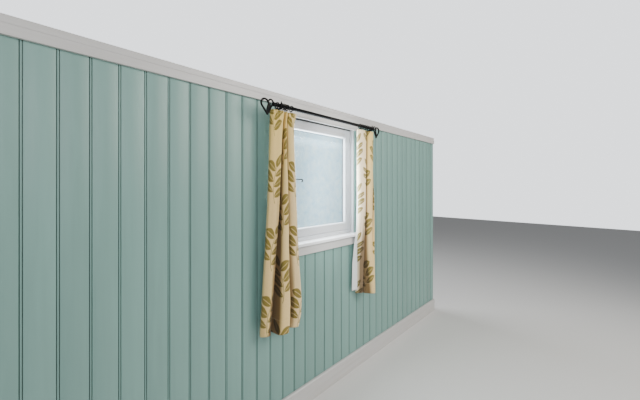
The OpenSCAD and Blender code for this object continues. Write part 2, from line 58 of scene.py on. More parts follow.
# Camera, from the wall's vanishing points, in pixels of the photograph
PHOTO_W, PHOTO_H = 640, 400
FOCAL_PX = 293.7
HORIZON_V = 186.7
CAMERA_TURN = 46.26
CAMERA_AT = (-1.435, -1.400, 1.366)
SENSOR = 36.0
NEAREST = 0.01


def make_camera():
    data = bpy.data.cameras.new("camera")
    data.sensor_width = SENSOR
    data.lens = FOCAL_PX / PHOTO_W * SENSOR
    data.shift_y = (HORIZON_V - PHOTO_H / 2) / PHOTO_W
    data.clip_start = NEAREST
    camera = add_object("camera", data)
    camera.location = CAMERA_AT
    camera.rotation_euler = (radians(90), 0, radians(-CAMERA_TURN))
    bpy.context.scene.camera = camera


# The world looks paler to the camera than the light that it gives
WORLD_COLOUR = (0.88, 0.91, 0.95, 1)
WORLD_LIGHT = 0.30
WORLD_SEEN = 2.1
# Lights: name, place, what it points at, size, watts, colour
LIGHTS = [
    ("room_key", (1.4, -3.0, 2.7), (0.0, 0, 1.2), (2.2, 1.8), 112, (1.0, 0.955, 0.89)),
    ("room_fill", (-2.0, -2.9, 2.1), (-0.1, 0, 1.2), (1.8, 1.6), 40, (0.93, 0.97, 1.0)),
    # In the opening itself, so that it lights the room side only
    ("daylight", (0.0, 0.0, 1.42), (0.0, -1.0, 1.42), (0.54, 0.62), 20, (0.84, 0.95, 1.0)),
    # Daylight that reaches the curtains and the sill
    ("window_glow", (-0.02, -0.30, 1.40), (0.35, -0.06, 1.35), (0.22, 0.75), 3.3, (0.95, 0.98, 1.0)),
    ("sill_glow", (0.0, -0.060, 1.70), (0.0, -0.055, 1.0), (0.56, 0.04), 0.9, (0.95, 0.98, 1.0)),
    ("sky", (0.6, 3.2, 3.0), (0, 0, 1.2), (3.0, 2.0), 170, (0.90, 0.95, 1.0)),
]


def area_light(name, at, towards, size, power, colour):
    data = bpy.data.lights.new(name, "AREA")
    data.shape = "RECTANGLE"
    data.size, data.size_y = size
    data.energy = power
    data.color = colour
    light = add_object(name, data)
    light.location = at
    light.rotation_euler = (Vector(towards) - Vector(at)).to_track_quat("-Z", "Y").to_euler()


def make_lights():
    """Soft studio light from the room, and daylight from the window."""
    world = bpy.data.worlds.new("world")
    world.use_nodes = True
    tree = world.node_tree
    background = tree.nodes["Background"]
    background.inputs["Color"].default_value = WORLD_COLOUR
    paths = tree.nodes.new("ShaderNodeLightPath")
    span = tree.nodes.new("ShaderNodeMapRange")
    span.inputs["To Min"].default_value = WORLD_LIGHT
    span.inputs["To Max"].default_value = WORLD_SEEN
    tree.links.new(paths.outputs["Is Camera Ray"], span.inputs["Value"])
    tree.links.new(span.outputs["Result"], background.inputs["Strength"])
    bpy.context.scene.world = world
    for light in LIGHTS:
        area_light(*light)


class Shader:
    """A material with a Principled surface, and short calls for its nodes."""

    def __init__(self, name, **sockets):
        self.material = bpy.data.materials.new(name)
        self.material.use_nodes = True
        self.tree = self.material.node_tree
        self.surface = self.tree.nodes["Principled BSDF"]
        for key, value in sockets.items():
            self.surface.inputs[key.replace("_", " ")].default_value = value

    def node(self, kind, inputs=None, **settings):
        node = self.tree.nodes.new(kind)
        for key, value in settings.items():
            setattr(node, key, value)
        for key, value in (inputs or {}).items():
            self.put(value, node.inputs[key])
        return node

    def put(self, value, socket):
        if isinstance(value, bpy.types.NodeSocket):
            self.tree.links.new(value, socket)
        else:
            socket.default_value = value

    def coords(self):
        return self.node("ShaderNodeTexCoord").outputs["Object"]

    def scaled(self, vector, scale):
        return self.node("ShaderNodeVectorMath", {0: vector, 1: scale}, operation="MULTIPLY").outputs[0]

    def drawn(self, vector, along, share):
        """Scaled so that a pattern is drawn out along x or z, as brush marks and grain are."""
        return self.scaled(vector, (share, 1.0, 1.0) if along == "x" else (1.0, 1.0, share))

    def axes(self, vector):
        return self.node("ShaderNodeSeparateXYZ", {0: vector}).outputs

    def math(self, operation, a, b=0.0, clamp=False):
        return self.node("ShaderNodeMath", {0: a, 1: b}, operation=operation, use_clamp=clamp).outputs[0]

    def plus(self, a, b):
        return self.math("ADD", a, b)

    def minus(self, a, b):
        return self.math("SUBTRACT", a, b)

    def times(self, a, b):
        return self.math("MULTIPLY", a, b)

    def over(self, a, b):
        return self.math("DIVIDE", a, b)

    def whole(self, a):
        return self.math("FLOOR", a)

    def apart(self, a, b):
        """How far a is from b, either way."""
        return self.math("ABSOLUTE", self.minus(a, b))

    def speckle(self, vector, scale, detail=3.0, roughness=0.5):
        return self.node("ShaderNodeTexNoise", {"Vector": vector, "Scale": scale, "Detail": detail,
                                                "Roughness": roughness}).outputs["Fac"]

    def span(self, value, low, high, to_low=0.0, to_high=1.0):
        return self.node("ShaderNodeMapRange", {"Value": value, "From Min": low, "From Max": high,
                                                "To Min": to_low, "To Max": to_high}).outputs["Result"]

    def mix(self, factor, a, b, blend="MIX"):
        node = self.node("ShaderNodeMix", data_type="RGBA", blend_type=blend)
        for value, socket in zip((factor, a, b), (node.inputs[0], node.inputs[6], node.inputs[7])):
            self.put(value, socket)
        return node.outputs[2]

    def bump(self, height, strength, distance, normal=None):
        inputs = {"Height": height, "Strength": strength, "Distance": distance}
        if normal is not None:
            inputs["Normal"] = normal
        return self.node("ShaderNodeBump", inputs).outputs["Normal"]

    def finish(self, **links):
        for key, value in links.items():
            self.put(value, self.surface.inputs[key.replace("_", " ")])
        return self.material


def around(count):
    """Angles at even steps round a full turn."""
    return [2 * pi * i / count for i in range(count)]


def arc_points(centre, radius, start, end, steps):
    """Places along an arc, from a start to an end in degrees."""
    angles = [radians(start + (end - start) * i / steps) for i in range(steps + 1)]
    return [(centre[0] + radius * cos(a), centre[1] + radius * sin(a)) for a in angles]


def rgb(red, green, blue):
    return (red, green, blue, 1.0)


def shade(colour, factor):
    return tuple(min(1.0, factor * c) for c in colour[:3]) + (1.0,)


# Paints, the dirt and wear on them, and painted light and shadow
SAGE = rgb(0.202, 0.352, 0.314)
TRIM_WHITE = rgb(0.59, 0.575, 0.56)
SASH_WHITE = rgb(0.50, 0.51, 0.53)
# The window board's white is the trim's paint made lighter, as painted daylight from the window
WINDOW_BOARD_LIT = rgb(0.91, 0.91, 0.92)
GRIME = rgb(0.40, 0.36, 0.30)
WORN_EDGE = rgb(0.42, 0.38, 0.31)
# Painted shadow under the head board's joint
SHADOW_BLACK = rgb(0.02, 0.018, 0.015)
# The matchboard's joints: their pitch, and how far the first is right of the wall's middle
BOARD_PITCH = 0.090
BOARD_SHIFT = 0.022


def painted_boards(name, face_y, inward):
    """Eggshell paint on upright matchboard: each board differs a little, and its quirks are darker with
    depth, painted shade and dirt.
    """
    s = Shader(name)
    where = s.coords()
    x, y = s.axes(where)[0], s.axes(where)[1]
    board = s.whole(s.over(s.minus(x, BOARD_SHIFT), BOARD_PITCH))
    tone = s.node("ShaderNodeTexWhiteNoise", {"W": board}, noise_dimensions="1D").outputs["Value"]
    brush = s.speckle(s.drawn(where, "z", 0.06), 260.0, 3.0, 0.6)
    grain = s.speckle(s.drawn(where, "z", 0.035), 60.0, 4.0, 0.55)
    patch = s.speckle(where, 2.2)
    streak = s.speckle(s.drawn(where, "z", 0.08), 26.0, 2.0)
    dark, light = shade(SAGE, 0.86), shade(SAGE, 1.12)
    base = s.mix(s.span(tone, 0, 1, 0.28, 0.72), dark, light)
    base = s.mix(s.span(patch, 0.35, 0.65, 0.0, 0.30), base, light)
    base = s.mix(s.span(grain, 0.45, 0.75, 0.0, 0.25), base, dark)
    base = s.mix(s.span(streak, 0.52, 0.8, 0.0, 0.35), base, shade(SAGE, 1.22))
    # Painted shade and dirt: the deeper in a quirk, the darker
    depth = s.times(s.minus(y, face_y), inward)
    base = s.mix(s.span(depth, 0.0006, 0.0026, 0.0, 0.85), base, shade(SAGE, 0.22))
    normal = s.bump(brush, 0.12, 0.0003, s.bump(grain, 0.25, 0.0006))
    return s.finish(Base_Color=base, Normal=normal, Roughness=s.span(brush, 0.3, 0.7, 0.34, 0.48))


def painted_trim(name, colour, along, shadow_z=None):
    """White eggshell on planed timber, brushed along the piece's length, thin and grubby at its arrises.

    Above the height it is given, in the shade of the joint over it, it is black with painted shadow.
    """
    s = Shader(name)
    where = s.coords()
    brush = s.speckle(s.drawn(where, along, 0.05), 220.0, 3.0, 0.6)
    grain = s.speckle(s.drawn(where, along, 0.05), 55.0, 4.0, 0.55)
    patch = s.speckle(where, 3.0)
    speck = s.speckle(where, 420.0, 2.0, 0.6)
    base = s.mix(s.span(patch, 0.35, 0.7, 0.0, 0.35), colour, shade(colour, 0.93))
    base = s.mix(s.span(grain, 0.5, 0.8, 0.0, 0.22), base, shade(colour, 0.88))
    base = s.mix(s.span(speck, 0.68, 0.78, 0.0, 0.25), base, GRIME)
    worn = s.node("ShaderNodeNewGeometry").outputs["Pointiness"]
    edge = s.times(s.span(worn, 0.53, 0.60), s.span(grain, 0.45, 0.62))
    base = s.mix(s.times(edge, 0.35), base, WORN_EDGE)
    # Painted shadow under the joint above: black from the given height up
    if shadow_z:
        base = s.mix(s.span(s.axes(where)[2], shadow_z - 0.001, shadow_z, 0.0, 0.94), base, SHADOW_BLACK)
    normal = s.bump(brush, 0.12, 0.0003, s.bump(grain, 0.18, 0.0005))
    return s.finish(Base_Color=base, Normal=normal, Roughness=s.span(brush, 0.3, 0.7, 0.28, 0.42))


def sawn_timber(name, along):
    """Bare softwood with growth rings that run along the piece."""
    s = Shader(name, Roughness=0.7)
    where = s.coords()
    run = s.drawn(where, along, 0.04)
    warp = s.speckle(run, 9.0)
    rings = s.node("ShaderNodeTexWave", {"Vector": run, "Scale": 38.0, "Distortion": 7.0, "Detail": 3.0,
                                         "Phase Offset": warp}, bands_direction="Y").outputs["Fac"]
    fibre = s.speckle(run, 330.0, 3.0, 0.65)
    base = s.mix(s.span(rings, 0.2, 0.9), rgb(0.62, 0.43, 0.24), rgb(0.47, 0.29, 0.14))
    base = s.mix(s.span(fibre, 0.4, 0.7, 0.0, 0.3), base, rgb(0.70, 0.53, 0.34))
    return s.finish(Base_Color=base, Normal=s.bump(fibre, 0.4, 0.0006))


def window_glass():
    """Thin clear glass: what is behind it shows, with a film of dust and water marks."""
    ior = 1.5
    s = Shader("window_glass", Roughness=0.04, IOR=ior)
    where = s.coords()
    dust = s.speckle(where, 26.0, 6.0, 0.72)
    spots = s.speckle(where, 260.0, 3.0, 0.6)
    film = s.plus(s.span(dust, 0.36, 0.68, 0.03, 0.12), s.span(spots, 0.54, 0.68, 0.0, 0.12))
    rim = s.node("ShaderNodeFresnel", {"IOR": ior}).outputs["Fac"]
    alpha = s.math("ADD", film, s.times(rim, 0.9), clamp=True)
    colour = s.mix(s.span(dust, 0.35, 0.7), rgb(0.46, 0.68, 0.80), rgb(0.76, 0.88, 0.88))
    ripple = s.speckle(where, 3.5, 1.0)
    return s.finish(Base_Color=colour, Alpha=alpha, Normal=s.bump(ripple, 0.05, 0.002))


def black_iron():
    """Forged iron under black wax: hammered, with a little brown where the wax is thin."""
    s = Shader("black_iron", Specular_IOR_Level=0.14)
    where = s.coords()
    hammer = s.speckle(where, 140.0, 2.0)
    pits = s.speckle(where, 900.0, 3.0, 0.7)
    base = s.mix(s.span(hammer, 0.5, 0.75, 0.0, 0.4), rgb(0.004, 0.004, 0.0042), rgb(0.013, 0.010, 0.008))
    normal = s.bump(pits, 0.3, 0.0002, s.bump(hammer, 0.35, 0.0008))
    return s.finish(Base_Color=base, Roughness=s.span(pits, 0.35, 0.7, 0.42, 0.62), Normal=normal)


# Printed sprig: a bent stem with leaves in turn on its two sides, and one at its tip
SPRIG_ACROSS = 0.152
SPRIG_UP = 0.360
STEM_LOW = -0.120
STEM_HIGH = 0.085
STEM_FOOT = 0.012
STEM_BEND = 1.5
STEM_SLANT = -0.18
STEM_HALF = 0.0011
LEAF_STEP = 0.056
LEAF_SLOPE = 0.95
LEAF_LEAN = 1 / math.hypot(1, LEAF_SLOPE)
LEAF_BOW = 3.2
LEAF_REACH = 0.082
LEAF_WIDE = 0.037
LEAF_FULL = 1.62
LEAF_OFF = 0.0015
LEAVES_END = 0.03
# Leaves are largest at this height, and shrink by this share for each metre from it
LARGEST_AT = -0.03
LEAF_SHRINK = 3.0
LEAF_LEAST = 0.3
TIP_BACK = 0.024
TIP_REACH = 0.076
TIP_WIDE = 0.031


def leaf(s, across, along, length, width):
    """1 inside a pointed oval leaf, which starts at 0 and runs along to its length, but 0 on its rib."""
    k = s.over(along, length)
    rise = s.math("POWER", s.math("MAXIMUM", k, 0.0), 0.75)
    fall = s.math("POWER", s.math("MAXIMUM", s.minus(1.0, k), 0.0), 0.85)
    half = s.times(s.times(rise, fall), s.times(width, LEAF_FULL))
    inside = s.span(s.minus(half, s.math("ABSOLUTE", across)), 0.0, 0.0009)
    rib = s.span(s.math("ABSOLUTE", across), 0.0005, 0.0012)
    rib = s.math("MAXIMUM", rib, s.span(k, 0.72, 0.86))
    return s.times(inside, rib)


def sprig(s, u, v):
    """1 on the print: sprigs in columns, each next column half a repeat up and turned over."""
    column = s.whole(s.over(u, SPRIG_ACROSS))
    odd = s.math("PINGPONG", column, 1.0)
    x = s.minus(u, s.times(s.plus(column, 0.5), SPRIG_ACROSS))
    x = s.times(x, s.minus(1.0, s.times(odd, 2.0)))
    raised = s.plus(v, s.times(odd, SPRIG_UP / 2))
    row = s.whole(s.over(raised, SPRIG_UP))
    z = s.minus(raised, s.times(s.plus(row, 0.5), SPRIG_UP))
    # Across and away from the bent stem, and which leaf of the row along it this is
    bend = s.times(s.times(z, z), STEM_BEND)
    t = s.plus(s.minus(x, bend), s.times(z, STEM_SLANT))
    side = s.math("SIGN", t)
    out = s.math("ABSOLUTE", t)
    q = s.plus(s.minus(z, s.times(out, LEAF_SLOPE)), s.times(side, LEAF_STEP / 4))
    number = s.whole(s.over(q, LEAF_STEP))
    f = s.minus(q, s.times(s.plus(number, 0.5), LEAF_STEP))
    f = s.plus(f, s.times(s.times(out, out), LEAF_BOW))
    centre = s.times(s.plus(number, 0.5), LEAF_STEP)
    size = s.minus(1.0, s.times(s.apart(centre, LARGEST_AT), LEAF_SHRINK))
    allowed = s.times(s.math("GREATER_THAN", centre, STEM_LOW),
                      s.math("LESS_THAN", centre, STEM_HIGH - LEAVES_END))
    reach = s.times(s.math("MAXIMUM", size, LEAF_LEAST), LEAF_REACH)
    wide = s.times(s.math("MAXIMUM", size, LEAF_LEAST), LEAF_WIDE)
    leaves = s.times(leaf(s, s.times(f, LEAF_LEAN), s.minus(out, LEAF_OFF), reach, wide), allowed)
    tip = leaf(s, t, s.minus(z, STEM_HIGH - TIP_BACK), TIP_REACH, TIP_WIDE)
    within = s.times(s.math("GREATER_THAN", z, STEM_LOW - STEM_FOOT), s.math("LESS_THAN", z, STEM_HIGH))
    stem = s.times(s.math("LESS_THAN", out, STEM_HALF), within)
    return s.math("MAXIMUM", s.math("MAXIMUM", leaves, tip), stem)


# Cloth: its threads, its stitched lines from the hem or the heading, and its colours, with painted light and
# shade
THREAD_PITCH = 0.0011
HEM_TURN = 0.075
TAPE_TOP = 0.012
TAPE_FOOT = 0.084
STITCH = 0.0045
STITCH_SHOWS = 0.6
SEAM_HALF = 0.0006
SEAM_PULL = 0.004
COTTON = rgb(0.77, 0.54, 0.205), rgb(0.91, 0.675, 0.295)
COTTON_CLOUD = rgb(0.85, 0.58, 0.29)
# Painted warm light near the heading, and painted window light on the side towards the window
COTTON_WARM_LIT = rgb(0.84, 0.60, 0.16)
COTTON_WINDOW_LIT = rgb(0.95, 0.83, 0.66)
INK = rgb(0.165, 0.118, 0.009), rgb(0.240, 0.182, 0.022)
FOLD_SHADE = rgb(0.16, 0.11, 0.055)
SEWING_THREAD = rgb(0.80, 0.66, 0.40)
SATEEN = rgb(0.78, 0.77, 0.74), rgb(0.86, 0.86, 0.84)


def weave(s, where):
    """Height of a plain weave with slubs, from the cloth's own coordinates in metres."""
    warp = s.math("SINE", s.times(s.axes(where)[0], 2 * pi / THREAD_PITCH))
    weft = s.math("SINE", s.times(s.axes(where)[1], 2 * pi / THREAD_PITCH))
    slub = s.speckle(s.scaled(where, (1.0, 14.0, 1.0)), 55.0, 3.0, 0.6)
    return s.plus(s.times(s.times(warp, weft), 0.3), slub), slub


def cloth(name, roughness, sheen):
    """A shader for cloth, and what make_sheet keeps at each place: across, up from the hem, painted fold
    shade.
    """
    s = Shader(name, Roughness=roughness, Sheen_Weight=sheen)
    return s, s.node("ShaderNodeAttribute", attribute_name="cloth").outputs["Vector"]


def printed_cloth(name, shift, pale):
    """Cream cotton with a slubbed weave, printed with olive leaf sprigs.

    pale says where along the width the painted window light starts, where it is strongest, and how much.
    """
    s, flat = cloth(name, 0.88, 0.25)
    where = s.scaled(flat, (1.0, 1.0, 0.0))
    wobble = s.speckle(where, 30.0, 2.0)
    u = s.plus(s.plus(s.axes(where)[0], s.times(wobble, 0.006)), shift[0])
    v = s.plus(s.axes(where)[1], shift[1])
    height, slub = weave(s, where)
    tone = s.speckle(where, 9.0)
    ground = s.mix(s.span(slub, 0.3, 0.7), *COTTON)
    ground = s.mix(s.span(tone, 0.3, 0.7, 0.0, 0.4), ground, COTTON_CLOUD)
    # Painted warm light makes the cloth yellower near its heading, and painted window light makes it paler
    # towards the window
    ground = s.mix(s.span(s.axes(where)[1], 0.70, 1.20, 0.0, 0.75), ground, COTTON_WARM_LIT)
    ground = s.mix(s.span(s.axes(where)[0], pale[0], pale[1], 0.0, pale[2]), ground, COTTON_WINDOW_LIT)
    ink = s.mix(s.span(slub, 0.3, 0.7), *INK)
    base = s.mix(s.times(sprig(s, u, v), 0.93), ground, ink)
    # Painted shade down in the folds
    depth = s.axes(flat)[2]
    base = s.mix(s.times(depth, 0.92), base, FOLD_SHADE, "MULTIPLY")
    # Stitched lines: the hem's, and the two that hold the heading tape
    drop = HEADING_Z - HEM_Z
    near = 1.0
    for seam in (HEM_TURN, drop - TAPE_TOP, drop - TAPE_FOOT):
        near = s.math("MINIMUM", near, s.apart(s.axes(where)[1], seam))
    dash = s.math("LESS_THAN", s.math("FRACT", s.over(s.axes(where)[0], STITCH)), STITCH_SHOWS)
    thread = s.times(dash, s.math("LESS_THAN", near, SEAM_HALF))
    base = s.mix(s.times(thread, 0.5), base, SEWING_THREAD)
    normal = s.bump(s.span(near, 0.0, SEAM_PULL), 0.7, 0.0012)
    return s.finish(Base_Color=base, Normal=s.bump(height, 0.35, 0.0004, normal))


def lining_cloth():
    """White cotton sateen."""
    s, where = cloth("lining_cloth", 0.8, 0.2)
    height, slub = weave(s, where)
    base = s.mix(s.span(slub, 0.3, 0.7), *SATEEN)
    return s.finish(Base_Color=base, Normal=s.bump(height, 0.25, 0.0003))


EDGE_SOFT = 0.0012
EDGE_ANGLE = 40
WELD_UNDER = 0.00001


def dress(names, material, edge=EDGE_SOFT):
    """Give the construction's own nodes a material, and soften their edges."""
    for name in names:
        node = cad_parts[name]
        node.data.materials.clear()
        node.data.materials.append(material)
        if edge:
            node.modifiers.new("weld", "WELD").merge_threshold = WELD_UNDER
            bevel = node.modifiers.new("edge", "BEVEL")
            bevel.width = edge
            bevel.segments = 2
            bevel.limit_method = "ANGLE"
            bevel.angle_limit = radians(EDGE_ANGLE)


def bands(rings, sides):
    """Faces between rings of points that follow each other, with so many sides to a ring."""
    pairs = [(first + j, first + (j + 1) % sides)
             for first in range(0, (rings - 1) * sides, sides) for j in range(sides)]
    return [(a, b, b + sides, a + sides) for a, b in pairs]


class Form:
    """Vertices and faces of one piece, gathered part by part and made into one mesh."""

    def __init__(self):
        self.points = []
        self.faces = []

    def add(self, points, faces):
        first = len(self.points)
        self.points += [tuple(p) for p in points]
        self.faces += [tuple(first + i for i in face) for face in faces]

    def skin(self, points, sides):
        """A skin over rings of points, closed at its first and last ring."""
        last = len(points) - sides
        ends = [range(sides)[::-1], range(last, last + sides)]
        self.add(points, bands(len(points) // sides, sides) + ends)

    def tube(self, path, radius, sides, closed=False):
        """A round bar along a path. radius is one number or one for each point of the path."""
        n = len(path)
        path = [Vector(p) for p in path]
        radii = [radius] * n if isinstance(radius, float) else radius
        before, after = (path[-1], path[0]) if closed else (path[0], path[-1])
        ahead = [(b - a).normalized() for a, b in zip([before] + path, path[1:] + [after])]
        side = ahead[0].orthogonal().normalized()
        points = []
        for i in range(n):
            side = (side - ahead[i] * side.dot(ahead[i])).normalized()
            up = ahead[i].cross(side)
            points += [path[i] + radii[i] * (cos(a) * side + sin(a) * up) for a in around(sides)]
        if not closed:
            self.skin(points, sides)
            return
        # The last ring meets the first with as little turn as it can
        last = (n - 1) * sides
        reach = [(points[j] - points[last]).length for j in range(sides)]
        turn = reach.index(min(reach))
        seam = [(last + j, last + (j + 1) % sides, (j + 1 + turn) % sides, (j + turn) % sides)
                for j in range(sides)]
        self.add(points, bands(n, sides) + seam)

    def turned(self, profile, centre, axis, sides):
        """A turned form: profile lists (distance along the axis, radius), and closes at both ends."""
        axis = Vector(axis).normalized()
        side = axis.orthogonal().normalized()
        up = axis.cross(side)
        points = []
        for along, radius in profile:
            points += [Vector(centre) + along * axis + radius * (cos(a) * side + sin(a) * up)
                       for a in around(sides)]
        self.skin(points, sides)

    def run(self, section, z0, z1):
        """An upright length of a section in the XY plane, anticlockwise from above."""
        self.skin([(x, y, z) for z in (z0, z1) for x, y in section], len(section))

    def block(self, low, high):
        (x0, y0, z0), (x1, y1, z1) = low, high
        self.run([(x0, y0), (x1, y0), (x1, y1), (x0, y1)], z0, z1)

    def piece(self, name, material, smooth=35.0):
        """All that was gathered, as one mesh that is sharp where faces turn more than so many degrees."""
        mesh = bpy.data.meshes.new(name)
        mesh.from_pydata(self.points, [], self.faces)
        mesh.materials.append(material)
        mesh.validate()
        mesh.polygons.foreach_set("use_smooth", [True] * len(mesh.polygons))
        mesh.set_sharp_from_angle(angle=radians(smooth))
        return add_object(name, mesh)


def stands_for(piece, slot, *nodes):
    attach(piece, "root")
    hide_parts(*nodes)


def metres(rows):
    return [[Vector((x / 1000, y / 1000)) for x, y in row] for row in rows]


# Curtains. Each row lists places of the cloth at one height, in millimetres: heading, middle, hem.
# The nth places of the rows lie on one thread.
HEADING_Z = 1.778
MIDDLE_Z = 1.25
HEM_Z = 0.5685
LEFT_FOLDS = metres([
    [(-486, -122), (-486, -136), (-462, -146), (-430, -151), (-412, -147), (-407, -128), (-402, -126),
     (-397, -145), (-392, -152), (-386, -147), (-381, -126), (-376, -125), (-370, -146), (-345, -153),
     (-322, -148), (-317, -134)],
    [(-503, -116), (-502, -131), (-484, -138), (-462, -145), (-443, -143), (-441, -104), (-432, -86),
     (-424, -118), (-419, -148), (-401, -160), (-381, -150), (-378, -112), (-369, -144), (-345, -160),
     (-323, -152), (-318, -130)],
    [(-524, -82), (-529, -97), (-514, -112), (-498, -121), (-482, -117), (-478, -82), (-465, -66),
     (-456, -88), (-448, -150), (-420, -168), (-393, -164), (-388, -126), (-376, -106), (-352, -134),
     (-320, -152), (-300, -120)],
])
RIGHT_FOLDS = metres([
    [(273, -132), (277, -146), (300, -152), (335, -153), (368, -148), (380, -126), (387, -126),
     (394, -149), (420, -156), (452, -152), (466, -134), (470, -114), (478, -118), (485, -126),
     (490, -112), (486, -98)],
    [(312, -106), (309, -126), (314, -142), (335, -150), (356, -150), (358, -112), (367, -106),
     (373, -138), (388, -160), (430, -162), (447, -134), (463, -155), (472, -120), (478, -100),
     (490, -124), (491, -104)],
    [(343, -66), (345, -79), (356, -88), (372, -98), (384, -102), (389, -80), (395, -78),
     (388, -112), (400, -138), (415, -161), (432, -174), (452, -165), (458, -110), (468, -84),
     (488, -132), (494, -110)],
])
# The left curtain's leading and outer edges: (height, place along the wall)
LEFT_LEAD = [(1.778, -0.317), (1.70, -0.338), (1.60, -0.336), (1.41, -0.327), (1.14, -0.311), (0.90, -0.288),
             (0.72, -0.263), (0.64, -0.266), (0.60, -0.276), (0.5685, -0.291)]
LEFT_RIM = [(1.778, -0.486), (1.70, -0.488), (1.466, -0.493), (1.20, -0.502), (0.90, -0.514), (0.60, -0.524),
            (0.5685, -0.523)]
# The right curtain's lining swings out past its leading edge: (height, place along the wall, depth)
FLAP = [(1.778, 0.286, -0.122), (1.60, 0.296, -0.114), (1.25, 0.307, -0.106), (1.037, 0.3125, -0.095),
        (0.95, 0.311, -0.080), (0.80, 0.300, -0.071), (0.5685, 0.295, -0.069)]
# Insets are counted in places of the cloth's line
LINING_GAP = 0.0032
LINING_TOP = 0.014
LINING_SHORT = 0.027
LINING_INSET = 7
LINING_CRUMPLE = 0.6
FLAP_INSET = 16
FLAP_STEPS = 12
FLAP_BOW = 0.004
# shift moves the print, printed_cloth says what pale is, and the two sizes are the flat ones
CURTAINS = {
    "left": {"folds": LEFT_FOLDS, "lead": LEFT_LEAD, "rim": LEFT_RIM, "flap": None, "seed": 3.0,
             "shift": (0.03, 0.06), "pale": (0.26, 0.37, 0.25), "flat": (0.48, 1.21), "lining": (0.44, 1.17)},
    "right": {"folds": RIGHT_FOLDS, "lead": None, "rim": None, "flap": FLAP, "seed": 8.0,
              "shift": (0.09, 0.21), "pale": (0.18, 0.05, 0.6), "flat": (0.41, 1.21), "lining": (0.41, 1.17)},
}
CLOTH_COLUMNS = 180
CLOTH_ROWS = 168
CLOTH_THICK = 0.0016
LINING_COLUMNS = 120
LINING_ROWS = 110
LINING_THICK = 0.0009
CURVE_STEPS = 12
# Under the heading the folds take this share of their way to the middle row, in this share of the drop
SETTLED = 0.15
SETTLE = 0.12
# Under the middle row they go on by this power of the way
HEM_POWER = 1.15
# How near a crest counts, how deep a fold starts to get painted shade and gets the most, and the shares of
# the width at the outer and the leading edge that stay light
CREST_REACH = 0.050
FOLD_SHALLOW = 0.005
FOLD_DEEP = 0.026
RIM_LIGHT = 0.09
LEAD_LIGHT = 0.22
# Puckers at the heading: how many, how deep, how far down they reach and fade, and how they wander
PUCKERS = 15
PUCKER_DEEP = 0.0022
PUCKER_DROP = 0.11
PUCKER_FADE = 1.5
PUCKER_WANDER = 1.3, 9
# Unevenness of hanging cloth, as upright wrinkles and slack: how often across and down, start, depth
CRUMPLE = (26, 3.2, 0.0, 0.0020), (9, 11, 7.0, 0.0012)


def between(stops, z):
    """The value at height z from stops that go down."""
    if z >= stops[0][0]:
        return stops[0][1]
    for (za, a), (zb, b) in zip(stops, stops[1:]):
        if z >= zb:
            return a + (b - a) * (za - z) / (za - zb)
    return stops[-1][1]


def curve_through(points, count):
    """count places at even steps along a smooth line through points."""
    p = [2 * points[0] - points[1]] + list(points) + [2 * points[-1] - points[-2]]
    fine = []
    for i in range(1, len(p) - 2):
        for j in range(CURVE_STEPS):
            t = j / CURVE_STEPS
            fine.append(0.5 * (2 * p[i] + (p[i + 1] - p[i - 1]) * t
                               + (2 * p[i - 1] - 5 * p[i] + 4 * p[i + 1] - p[i + 2]) * t * t
                               + (3 * p[i] - p[i - 1] - 3 * p[i + 1] + p[i + 2]) * t * t * t))
    fine.append(points[-1])
    reach = [0.0]
    for a, b in zip(fine, fine[1:]):
        reach.append(reach[-1] + (b - a).length)
    out, k = [], 0
    for i in range(count):
        want = reach[-1] * i / (count - 1)
        while k < len(fine) - 2 and reach[k + 1] < want:
            k += 1
        t = (want - reach[k]) / max(reach[k + 1] - reach[k], 1e-9)
        out.append(fine[k].lerp(fine[k + 1], min(max(t, 0.0), 1.0)))
    return out


def eased(k):
    """k from 0 to 1, with a soft start and end."""
    return k * k * (3 - 2 * k)


def back_of(line, i):
    """The way to the cloth's back at place i of a line across it."""
    ahead = line[min(i + 1, len(line) - 1)] - line[max(i - 1, 0)]
    return Vector((-ahead[1], ahead[0])).normalized()


def fold_row(folds, z):
    """The control places of the folds at height z, on a curve through the three rows."""
    k = (HEADING_Z - z) / (HEADING_Z - HEM_Z)
    middle = (HEADING_Z - MIDDLE_Z) / (HEADING_Z - HEM_Z)
    settle = eased(min(1.0, k / SETTLE))
    row = []
    for top, mid, hem in zip(*folds):
        if k <= middle:
            row.append(top.lerp(mid, SETTLED * settle + (1 - SETTLED) * k / middle))
        else:
            row.append(mid.lerp(hem, ((k - middle) / (1 - middle)) ** HEM_POWER))
    return row


def fold_line(curtain, z):
    """The curtain's line at height z, as the control places of its folds."""
    row = fold_row(curtain["folds"], z)
    if curtain["lead"]:
        rim, lead = between(curtain["rim"], z) - row[0][0], between(curtain["lead"], z) - row[-1][0]
        for i, p in enumerate(row):
            u = i / (len(row) - 1)
            p[0] += rim * (1 - u) ** 3 + lead * u ** 3
    return row


def crumple(x, z, seed):
    """How far a place of the sheet lies out of its smooth line."""
    return sum(depth * noise.noise(Vector((x * across + seed, z * down, start + seed)))
               for across, down, start, depth in CRUMPLE)


def painted_fold_shade(row):
    """The weight of painted fold shade at each place: how far it lies behind the crests beside it, from 0 to
    1, and 0 at the sheet's edges.
    """
    coarse = row[::4]
    last = len(row) - 1
    out = []
    for i, p in enumerate(row):
        front = min(q[1] for q in coarse if abs(q[0] - p[0]) < CREST_REACH)
        k = min(1.0, max(0.0, (p[1] - front - FOLD_SHALLOW) / (FOLD_DEEP - FOLD_SHALLOW)))
        edge = min(1.0, i / last / RIM_LIGHT, (1 - i / last) / LEAD_LIGHT)
        out.append(eased(k) * edge * edge)
    return out


